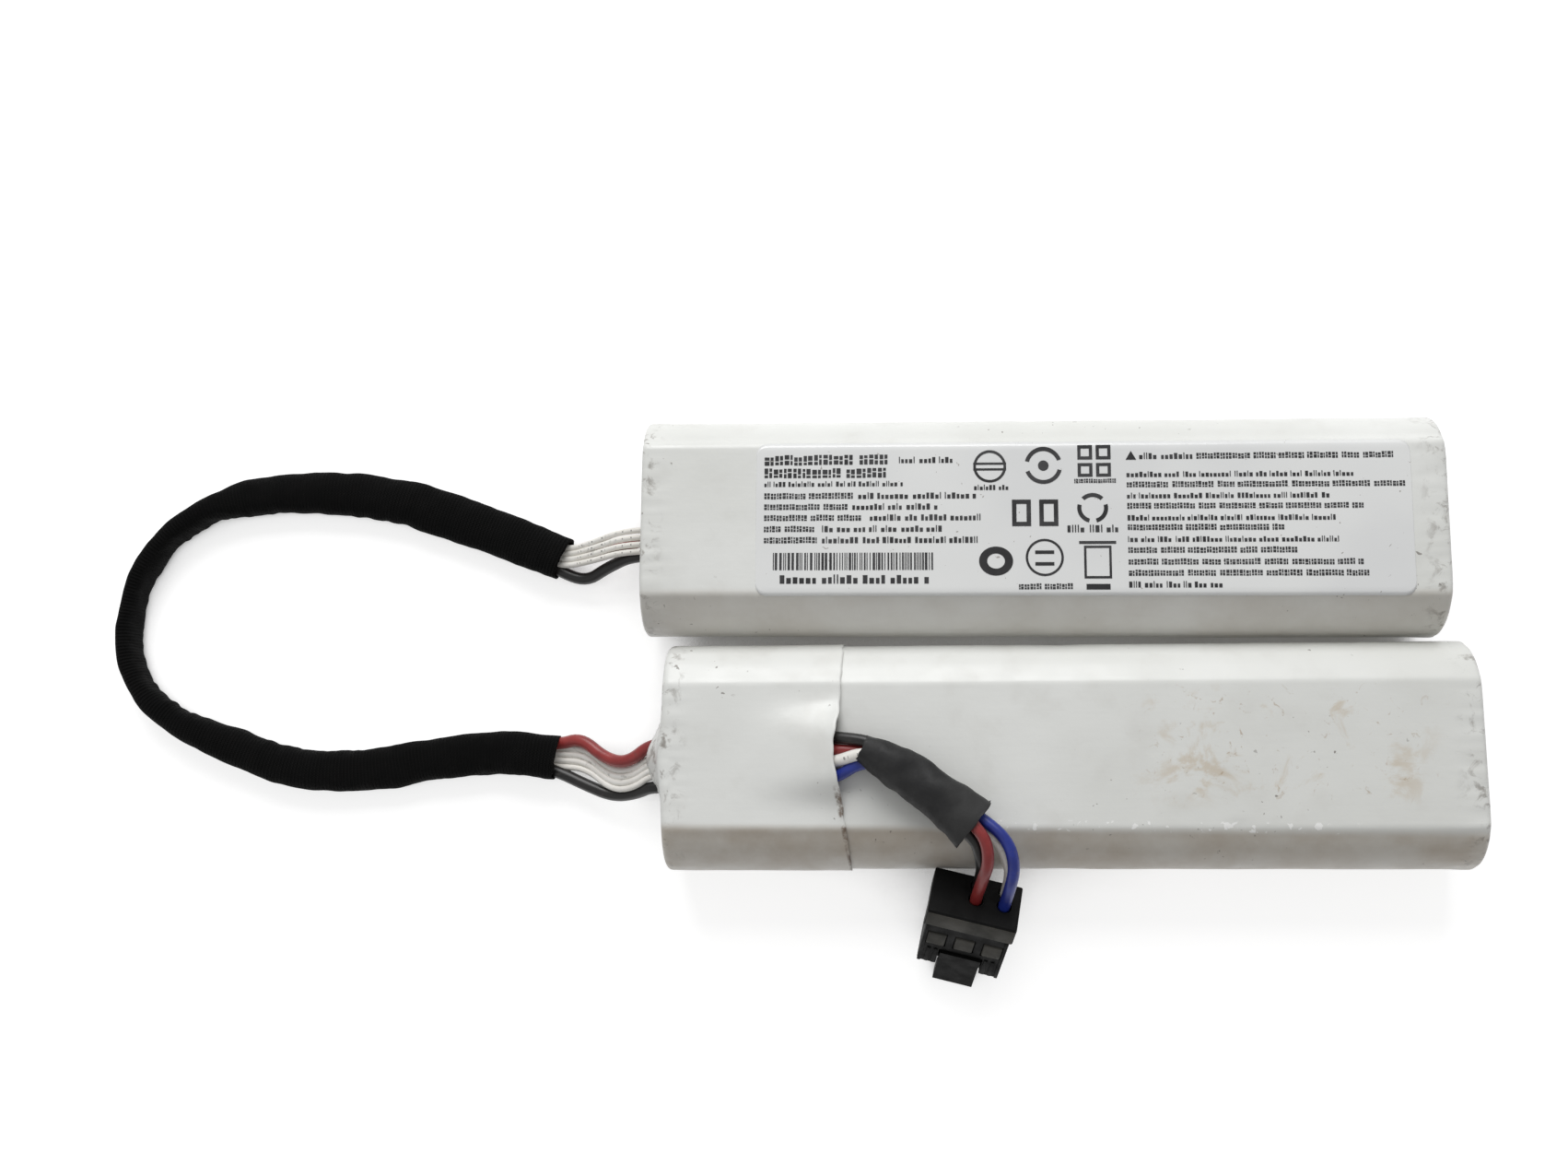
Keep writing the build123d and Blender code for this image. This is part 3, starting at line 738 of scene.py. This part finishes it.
def end_rings(stick, side, lift, mouth, pull):
    """The folded end of a film: from its mouth out over the rounded edge; side is -1 or 1."""
    # The first film of stick B starts a wall's thickness later, under the second one's folded end.
    under = BAND if stick is STICK_B and side < 0 and not lift else 0.0
    end = side * (stick["length"] / 2 + lift - under)
    turned = END_ROUND + lift
    fold_steps = 8
    edge_steps = 4
    rows = []
    for step in range(fold_steps):
        share = 1 - step / fold_steps
        ring = []
        for s in AROUND:
            core, out = across_slot(s)
            inset = turned + (mouth(s) - turned) * share
            pleat = wander((s, 0, side * 3.0), 1.5, 4.0) * 0.5 * share * (1.15 - 0.4 * share)
            point = core + out * (ROUND + lift - inset)
            point.x = end - side * (0.05 + abs(pleat)) + side * pull(point.y, point.z) * (0.4 + 0.6 * share)
            ring.append(to_stick(stick, point))
        rows.append(ring)
    for step in range(edge_steps + 1):
        angle = math.pi / 2 * step / edge_steps
        ring = []
        for s in AROUND:
            core, out = across_slot(s)
            x = end - side * turned * (1 - math.cos(angle))
            reach = ROUND + lift - turned * (1 - math.sin(angle))
            point = core + out * (reach + film_bulge(stick, x, s) * math.sin(angle))
            point.x = x + side * pull(point.y, point.z) * 0.4 * math.cos(angle)
            ring.append(to_stick(stick, point))
        rows.append(ring)
    return rows


def plain_mouth(s):
    """How far a film's folded end reaches in from the section's edge."""
    return 3.3 + 0.7 * wander((s, 0, 0), 3.5, 1.0)


def no_pull(y, z):
    return 0.0


def wrap_film(stick, name, node, material, skip=None):
    """The closed film round one stick, with a folded end and an open mouth at each end."""
    start = -stick["length"] / 2 + END_ROUND + (0 if stick is STICK_A else BAND)
    end = stick["length"] / 2 - END_ROUND
    steps = 110
    rings = end_rings(stick, -1, 0.0, plain_mouth, no_pull)
    for step in range(1, steps):
        x = start + (end - start) * step / steps
        rings.append([film_point(stick, x, s) for s in AROUND])
    rings += reversed(end_rings(stick, 1, 0.0, plain_mouth, no_pull))
    obj = loft(name, rings, skip=skip)
    thicken(obj, WRAP)
    dress(obj, material, (node,))
    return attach(obj, stick["body"])


def in_slot(point):
    """True over the slot that the lead's wires leave by."""
    x = point.x - STICK_B["x"]
    across = point.y - STICK_B["y"] - SLOT_MID_Y
    return SLOT_START < x < SLOT_END and abs(across) < SLOT_W / 2 and point.z > ROUND


def tent(x, s):
    """How high the second film stands over the lead's wires."""
    ramp = min(max((x - TENT_START) / (BAND_END - TENT_START), 0.0), 1.1)
    return TENT_HEIGHT * ramp**1.9 * math.exp(-(abs(s - TENT_MIDDLE) / TENT_HALF) ** 4)


def band_edge(s):
    """Where the second film ends: torn back at the lead, drawn forward on the lower side."""
    torn_back = 1.6 * bell(s, 0.6, 6.5)
    drawn_forward = 1.3 * (1 - bell(min(s + 6, 0.0), 0.0, 9.0))
    edge = BAND_END - 0.1 - torn_back + drawn_forward
    return edge + 0.28 * wander((s, 0, 0), 1.7, 2.0) + 0.2 * wander((s, 0, 0), 5.0, 8.0)


def band_mouth(s):
    return 3.5 + 2.4 * bell((s + 20) % SLOT_ROUND - 20, 0.0, 7.0) + 0.5 * wander((s, 0, 0), 4.0, 6.0)


def band_pull(y, z):
    """The film is drawn out round the harness's wires where they leave."""
    return 3.6 * bell(y, -0.4, 5.6) * bell(z, 12.0, 9.0)


def second_wrap():
    """The second film, over stick B's harness end, with a curled edge."""
    rings = end_rings(STICK_B, -1, BAND, band_mouth, band_pull)
    start = -STICK_B["length"] / 2 + END_ROUND
    steps = 64
    gap = 0.02
    for step in range(1, steps + 1):
        ring = []
        for s in AROUND:
            if s > SLOT_ROUND / 2:
                s -= SLOT_ROUND
            edge = band_edge(s)
            x = start + (edge - start) * step / steps
            upward = max(across_slot(s)[1].z, 0.0)
            raised = tent(x, s) if upward else 0.0
            curl = 0.25 * max(0.0, 1 - (edge - x) / 1.2) * upward * (0.6 + wander((s, 0, 0), 4, 9))
            slack = 0.12 * wander((x, s, 0), 7.0, 12.0) * upward * bell(x, BAND_END, 14)
            ring.append(film_point(STICK_B, x, s, BAND + gap + raised + curl + abs(slack)))
        rings.append(ring)
    obj = loft("outer_wrap_b_film", rings)
    thicken(obj, BAND - 0.05)
    dress(obj, FILM_BAND, ("outer_wrap_b",))
    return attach(obj, "pack_b")


# ---- rating label

# The label along stick A's film, its half width round it, and how high it and its print lie.
LABEL_START = -48.2
LABEL_END = 62.2
LABEL_HALF = 13.19
LABEL_CORNER = 2.0
LABEL_LIFT = 0.1
PRINT_LIFT = 0.145


def label_half(x):
    """Half the label's width round the film, less at its rounded corners."""
    into = LABEL_CORNER - min(x - LABEL_START, LABEL_END - x)
    if into <= 0:
        return LABEL_HALF
    return LABEL_HALF - LABEL_CORNER + math.sqrt(max(LABEL_CORNER**2 - into**2, 0.0))


def label_sheet():
    """The thin glossy sticker, laid on the film."""
    look = Finish("label_film", 0.3, specular_ior_level=0.5, coat_weight=0.35, coat_roughness=0.12)
    look.base(30, 2, (234, 235, 234), (227, 228, 228))
    look.lay((120, 108, 96), look.step(look.noise(1.0, 2, 0.5, 0.4), 0.73, 0.76, 0, 0.6))
    look.set(base_color=look.colour, normal=look.bump(look.noise(2.6, 3), 0.03, 0.4))
    near = [LABEL_CORNER * (1 - math.cos(math.pi / 2 * step / 8)) for step in range(9)]
    middle = [LABEL_START + LABEL_CORNER + 1.5 * step for step in range(1, 71)]
    columns = [LABEL_START + step for step in near] + middle + [LABEL_END - step for step in reversed(near)]
    rows = 36
    points = []
    for x in columns:
        half = label_half(x)
        for row in range(rows + 1):
            points.append(film_point(STICK_A, x, -half + 2 * half * row / rows, LABEL_LIFT))
    faces = []
    for column in range(len(columns) - 1):
        for row in range(rows):
            low = column * (rows + 1) + row
            faces.append((low, low + rows + 1, low + rows + 2, low + 1))
    obj = mesh_object("rating_label_sheet", points, faces)
    thicken(obj, LABEL_LIFT - 0.02)
    dress(obj, look.material, ("rating_label",))
    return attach(obj, "pack_a")


class Print:
    """Flat printed shapes on the label, in the label's own millimetres, kept in one mesh."""

    def __init__(self):
        self.points = []
        self.faces = []

    def shape(self, outline):
        """A filled outline of (x, s) places."""
        low = len(self.points)
        self.points += [film_point(STICK_A, x, s, PRINT_LIFT) for x, s in outline]
        self.faces.append(tuple(range(low, low + len(outline))))

    def box(self, x, s, width, height):
        """A filled box from its lower left corner."""
        self.shape([(x, s), (x + width, s), (x + width, s + height), (x, s + height)])

    def arc(self, x, s, outer, inner, start=0.0, end=360.0, squash=1.0):
        """Part of a flat ring round a centre, in degrees; an inner radius of 0 fills it."""
        steps = max(6, int((end - start) / 9))
        angles = [math.radians(start + (end - start) * step / steps) for step in range(steps + 1)]
        for first, second in zip(angles, angles[1:]):
            corners = [(outer, first), (outer, second), (inner, second), (inner, first)]
            self.shape([(x + squash * reach * math.cos(angle), s + reach * math.sin(angle))
                        for reach, angle in (corners if inner else corners[:3])])

    def frame(self, x, s, width, height, line):
        """An open box drawn with a line."""
        self.box(x, s, width, line)
        self.box(x, s + height - line, width, line)
        self.box(x, s + line, line, height - 2 * line)
        self.box(x + width - line, s + line, line, height - 2 * line)

    def patch(self, x, s, width, height, rng):
        """Four close boxes of uneven size, which look like dense small print from afar."""
        gap = 0.12 * height
        split = width * rng.uniform(0.3, 0.6)
        for left, wide in ((0.0, split), (split + gap, width - split - gap)):
            cut = height * rng.uniform(0.25, 0.6)
            self.box(x + left, s, wide, cut)
            self.box(x + left, s + cut + gap, wide, height - cut - gap)

    def words(self, start, end, s, height, kind, rng):
        """A line of plain marks that stand for small print: no letters, only bars and blocks."""
        x = start
        while x < end:
            for _ in range(rng.randint(3, 9)):
                if kind == "blocks":
                    width = height * rng.uniform(0.72, 0.9)
                    foot = s + height * rng.uniform(0, 0.08)
                    self.patch(x, foot, width, height * rng.uniform(0.8, 0.98), rng)
                    x += width + height * 0.16
                else:
                    width = height * rng.choice((0.16, 0.4, 0.48, 0.52))
                    tall = 1.0 if width < height * 0.2 else rng.choice((0.62, 0.62, 0.7, 0.92))
                    self.box(x, s, width, height * tall)
                    x += width + height * 0.2
                if x > end:
                    break
            x += height * rng.uniform(0.3, 0.55)


# Small print on the label: start, end, height above the label's middle line, size and kind.
TITLE_LINES = [(-46.8, -26.2, 9.4, 1.75, "blocks"), (-46.8, -26.2, 7.15, 1.75, "blocks")]
LEFT_LINES = [
    (-23.6, -14.8, 9.7, 1.1, "marks"), (-46.8, -22.8, 5.65, 0.95, "marks"),
    (-46.8, -32.0, 3.45, 1.1, "blocks"), (-30.6, -10.6, 3.45, 1.15, "marks"),
    (-46.8, -33.0, 1.55, 1.1, "blocks"), (-31.6, -17.2, 1.55, 1.15, "marks"),
    (-46.8, -30.0, -0.35, 1.1, "blocks"), (-28.6, -9.6, -0.35, 1.15, "marks"),
    (-46.8, -38.0, -2.3, 1.1, "blocks"), (-36.8, -16.6, -2.3, 1.15, "marks"),
    (-46.8, -38.0, -4.25, 1.1, "blocks"), (-36.8, -10.2, -4.25, 1.15, "marks"),
]
RIGHT_LINES = [
    (17.2, 26.0, 10.1, 1.1, "marks"), (26.8, 59.2, 10.1, 1.05, "blocks"),
    (15.0, 52.8, 7.0, 1.0, "marks"), (15.0, 60.4, 5.2, 1.05, "blocks"),
    (15.0, 48.2, 3.3, 1.0, "marks"), (15.0, 54.2, 1.5, 1.05, "blocks"),
    (15.0, 49.6, -0.5, 1.0, "marks"), (15.0, 40.4, -2.2, 1.05, "blocks"),
    (15.0, 50.4, -4.2, 1.0, "marks"), (15.0, 42.6, -6.1, 1.05, "blocks"),
    (15.0, 53.0, -8.1, 1.05, "blocks"), (15.0, 54.4, -10.0, 1.05, "blocks"),
    (15.0, 30.2, -11.9, 1.05, "marks"),
]


def barcode(sheet, rng):
    """Plain upright bars of random widths, with a line of marks under them."""
    x = -45.2
    end = -18.0
    foot = -8.9
    height = 3.0
    while x < end:
        width = rng.choice((0.16, 0.16, 0.28, 0.42))
        sheet.box(x, foot, width, height)
        x += width + rng.choice((0.16, 0.16, 0.26, 0.36))
    sheet.words(-44.0, -19.0, -11.2, 1.55, "marks", rng)


def symbols(sheet):
    """Generic round and square figures in the label's middle."""
    sheet.arc(-8.1, 9.0, 2.8, 2.35)
    sheet.box(-10.9, 9.3, 5.6, 0.4)
    sheet.box(-10.9, 8.3, 5.6, 0.4)
    sheet.words(-10.8, -5.4, 4.9, 0.95, "marks", random.Random(5))
    sheet.arc(1.0, 9.1, 3.2, 2.5, 20, 165)
    sheet.arc(1.0, 9.1, 3.2, 2.5, 200, 345)
    sheet.arc(1.0, 9.1, 0.9, 0.0)
    for x in (6.8, 9.9):
        for s in (7.1, 10.1):
            sheet.frame(x, s, 2.5, 2.4, 0.55)
    sheet.words(6.2, 13.3, 6.0, 0.8, "blocks", random.Random(6))
    sheet.frame(-4.4, -1.4, 3.2, 4.6, 0.75)
    sheet.frame(0.2, -1.4, 3.2, 4.6, 0.75)
    for angle in (90, 210, 330):
        sheet.arc(9.2, 1.7, 2.6, 1.9, angle - 45, angle + 45)
    sheet.words(4.9, 13.6, -2.5, 1.3, "marks", random.Random(7))
    sheet.arc(-7.2, -7.4, 2.5, 1.3, squash=1.15)
    sheet.arc(1.0, -6.8, 3.2, 2.8)
    sheet.box(-0.6, -6.2, 3.2, 0.6)
    sheet.box(-0.6, -8.2, 3.2, 0.6)
    sheet.words(-3.4, 5.4, -12.2, 1.0, "blocks", random.Random(8))
    sheet.frame(7.6, -10.4, 4.6, 5.6, 0.4)
    sheet.box(6.8, -4.5, 6.2, 0.5)
    sheet.box(7.9, -12.2, 4.0, 0.9)
    sheet.shape([(14.9, 10.0), (16.7, 10.0), (15.8, 11.5)])


def label_print():
    """The label's dark print: lines of small marks, bars and figures, none of them readable."""
    ink = plastic_finish("label_ink", (34, 34, 36), (60, 60, 62), 0.45, 0.5, 0.01)
    rng = random.Random(2)
    sheet = Print()
    for start, end, s, height, kind in TITLE_LINES + LEFT_LINES + RIGHT_LINES:
        sheet.words(start, end, s, height, kind, rng)
    barcode(sheet, rng)
    symbols(sheet)
    obj = mesh_object("rating_label_print", sheet.points, sheet.faces)
    dress(obj, ink)
    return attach(obj, "pack_a")


# ---- lead and connector

HEADING = Vector((-math.sin(CONNECTOR_TURN), -math.cos(CONNECTOR_TURN), 0))
UP = Vector((0, 0, 1))
TOP_NORMAL = HEADING * math.sin(CONNECTOR_LEAN) + UP * math.cos(CONNECTOR_LEAN)
ACROSS = Vector((-math.cos(CONNECTOR_TURN), math.sin(CONNECTOR_TURN), 0))
FORWARD = TOP_NORMAL.cross(ACROSS)


def on_connector(x, y, z):
    """A place in the connector's own plane, in the world's millimetres."""
    return CONNECTOR_REST + ACROSS * x + FORWARD * y + TOP_NORMAL * z


def silo(column, row, y):
    """A place on the middle line of one wire's silo, y forward of the housing's rear face."""
    return tuple(on_connector(column * PITCH, y, ROWS[row]))


# Each lead wire: its place in the bundle, where it lies across stick B, its corners before and
# after the sleeve, its silo and how far it runs straight behind it, and its finish.
LEAD_WIRES = {
    "lead_black": (
        (LEAD_PLACE, LEAD_PLACE), 3.15, (-37.0, -16.9, 21.3),
        [(-13.0, -34.2, 23.0), (-12.3, -37.1, 21.7)], (0, 0, -4.0), WIRE_BLACK,
    ),
    "lead_red": (
        (LEAD_PLACE, -LEAD_PLACE), 1.05, (-37.0, -19.1, 21.1),
        [(-11.6, -33.8, 25.2), (-11.2, -37.6, 24.0)], (0, 1, -5.5), WIRE_RED,
    ),
    "lead_white": (
        (-LEAD_PLACE, LEAD_PLACE), -1.05, (-37.0, -21.4, 21.5),
        [(-9.9, -33.1, 22.7), (-7.7, -37.2, 20.9)], (-1, 0, -4.0), WIRE_WHITE,
    ),
    "lead_blue": (
        (-LEAD_PLACE, -LEAD_PLACE), -3.15, (-37.0, -24.3, 21.2),
        [(-8.2, -33.4, 24.2), (-6.9, -37.8, 23.2)], (-1, 1, -5.5), WIRE_BLUE,
    ),
}


def heat_shrink():
    """The lead's sleeve: pinched where it starts, dented, and flared open at its far end."""
    line = smooth_route([LEAD_SLEEVE_START] + [corner[:3] for corner in LEAD[1:]], LEAD_SLEEVE_STEP)
    widths = [2.4, 3.2, 3.6, 3.7, 3.8, 4.2, 4.7]
    heights = [2.6, 3.1, 3.2, 3.2, 3.1, 3.1, 3.1]
    rings = []
    sides = 36
    for index, point in enumerate(line):
        share = index / (len(line) - 1)
        run = index * LEAD_SLEEVE_STEP
        ring = ring_round(line, index, along_list(widths, share), along_list(heights, share), sides, 0.9)
        made = []
        for side, spot in enumerate(ring):
            out = (spot - point).normalized()
            dent = 0.34 * wander((run, side * 0.6, 0), 4.5, 6.0) + 0.12 * wander((run, side * 0.6, 3), 1.8)
            dent -= 0.5 * bell(share, 0.42, 0.12) * bell(side, 11, 4)
            ragged = 0.35 * wander((side, 0, 0), 3.0, 9.0) if index in (0, len(line) - 1) else 0.0
            made.append(spot + out * dent + (line[-1] - line[0]).normalized() * ragged)
        rings.append(made)
    obj = loft("lead_sleeve_shrink", rings)
    thicken(obj, LEAD_SLEEVE_WALL)
    dress(obj, SHRINK, ("lead_sleeve",))
    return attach(obj, "pack_b")


def lead():
    """The output lead: its sleeve and its four wires."""
    shrink = heat_shrink()
    for name, (place, inner_y, before, after, (column, row, straight), material) in LEAD_WIRES.items():
        inner = [Vector((x, inner_y, LEAD_INNER_Z)) for x in (LEAD_START, LEAD_START + LEAD_STRAIGHT)]
        first = [tuple(to_stick(STICK_B, point)) for point in inner] + [before]
        last = [silo(column, row, straight), silo(column, row, WIRE_DEPTH)]
        corners = first + strand(LEAD, place) + after + last
        obj, points = wire(name, corners, LEAD_WIRE_R, material)
        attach(obj, "pack_b")


def connector_boxes(name, boxes, material, round_off):
    """Rounded blocks on the connector's top face, each x, y, z from its lowest corner and its size."""
    points = []
    faces = []
    for x, y, z, across, along, up in boxes:
        low = len(points)
        for high in (0, 1):
            for corner_x, corner_y in ((0, 0), (1, 0), (1, 1), (0, 1)):
                points.append(on_connector(x + across * corner_x, y + along * corner_y, z + up * high))
        for side in range(4):
            after = (side + 1) % 4
            faces.append((low + side, low + after, low + 4 + after, low + 4 + side))
        faces += [(low + 3, low + 2, low + 1, low), (low + 4, low + 5, low + 6, low + 7)]
    obj = mesh_object(name, points, faces)
    bevel = obj.modifiers.new("rounding", "BEVEL")
    bevel.width = round_off * MM
    bevel.segments = 3
    dress(obj, material)
    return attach(obj, "pack_b")


def connector_details():
    """What the bare housing lacks: pads in its windows, a collar, side rails and key ribs; pads, collar and
    side clips take a lighter copy of the black plastic, a painted highlight.
    """
    pads = [(column * PITCH - 1.6, 6.8, 7.85, 3.2, 3.5, 0.75) for column in (-1, 0, 1)]
    connector_boxes("connector_window_pads", pads, HIGHLIGHT_HOUSING, 0.25)
    connector_boxes("connector_collar", [(-7.3, 0.5, 8.7, 14.6, 3.5, 0.28)], HIGHLIGHT_HOUSING, 0.13)
    rails = [(side * 6.75 - 0.3, 4.7, 8.3, 0.6, 11.4, 0.35) for side in (-1, 1)]
    ribs = [(x, 11.6, 8.3, 0.7, 4.4, 0.3) for x in (-5.9, -4.7, 4.0, 5.2)]
    connector_boxes("connector_ribs", rails + ribs, HOUSING, 0.12)
    clips = [(side * 7.05 - 0.25, 6.0, 2.4, 0.5, 4.0, 3.0) for side in (-1, 1)]
    connector_boxes("connector_side_clips", clips, HIGHLIGHT_HOUSING, 0.15)


# ---- the scene

def dress_cad_nodes():
    """Gives each CAD node that still shows the finish of its own material slot."""
    for row in frame["record"]["subparts"]:
        obj = frame["nodes"][row["node"]]
        material = BY_SLOT.get(row["material_slot"])
        if material and not obj.hide_render:
            obj.data.materials.clear()
            obj.data.materials.append(material)


def studio():
    """A pale floor, soft white light from two lamps and all round, and the camera."""
    # The floor glows a little, except where something stands close over it: a painted shadow in gaps and
    # under edges.
    look = Finish("floor_paint", 0.9, specular_ior_level=0.1, emission_color=(1, 1, 1, 1))
    openness = look.add("AmbientOcclusion", {"Distance": 30 * MM}, samples=8).outputs["AO"]
    look.set(base_color=look.mix(look.noise(300, 2), (0.6, 0.6, 0.6, 1), (0.63, 0.63, 0.63, 1)),
             emission_strength=look.step(openness, 0.12, 0.5, 0.0, 0.7))
    reach = 3000
    plane = mesh_object("floor", [(-reach, -reach, -0.05), (reach, -reach, -0.05), (reach, reach, -0.05),
                                  (-reach, reach, -0.05)], [(0, 1, 2, 3)])
    plane.data.materials.append(look.material)
    plane.visible_diffuse = False

    world = bpy.data.worlds.new("studio")
    world.use_nodes = True
    world.node_tree.nodes["Background"].inputs["Color"].default_value = (1, 1, 1, 1)
    world.node_tree.nodes["Background"].inputs["Strength"].default_value = 0.4
    bpy.context.scene.world = world
    # Each lamp's name, its place and size in metres, and its power in watts.
    lamps = (
        ("key", (-0.1, 0.7, 0.54), 0.6, 5.8),
        ("fill", (-0.5, -0.35, 0.6), 0.6, 0.2),
    )
    for name, place, size, power in lamps:
        lamp = bpy.data.lights.new(name, "AREA")
        lamp.size = size
        lamp.energy = power
        obj = bpy.data.objects.new(name, lamp)
        obj.location = place
        obj.rotation_euler = (Vector((-0.03, 0, 0)) - Vector(place)).to_track_quat("-Z", "Y").to_euler()
        bpy.context.collection.objects.link(obj)

    # The camera looks almost straight down.
    data = bpy.data.cameras.new("camera")
    data.lens = 34.45
    data.sensor_width = 36.0
    camera = bpy.data.objects.new("camera", data)
    camera.location = Vector((-27.75, -28.4, 272.8)) * MM
    camera.rotation_euler = (math.radians(8.29), math.radians(3.87), math.radians(0.49))
    bpy.context.collection.objects.link(camera)
    bpy.context.scene.camera = camera
    bpy.context.scene.view_settings.view_transform = "Standard"


studio()
sleeve, sleeve_points = harness_sleeve()
cords = harness_wires()
for obj in [sleeve] + [row[0] for row in cords]:
    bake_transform(obj)
lead()
wrap_film(STICK_A, "wrap_a_film", "wrap_a", FILM_A)
wrap_film(STICK_B, "wrap_b_film", "wrap_b", FILM_B, in_slot)
second_wrap()
label_sheet()
label_print()
connector_details()
dress_cad_nodes()
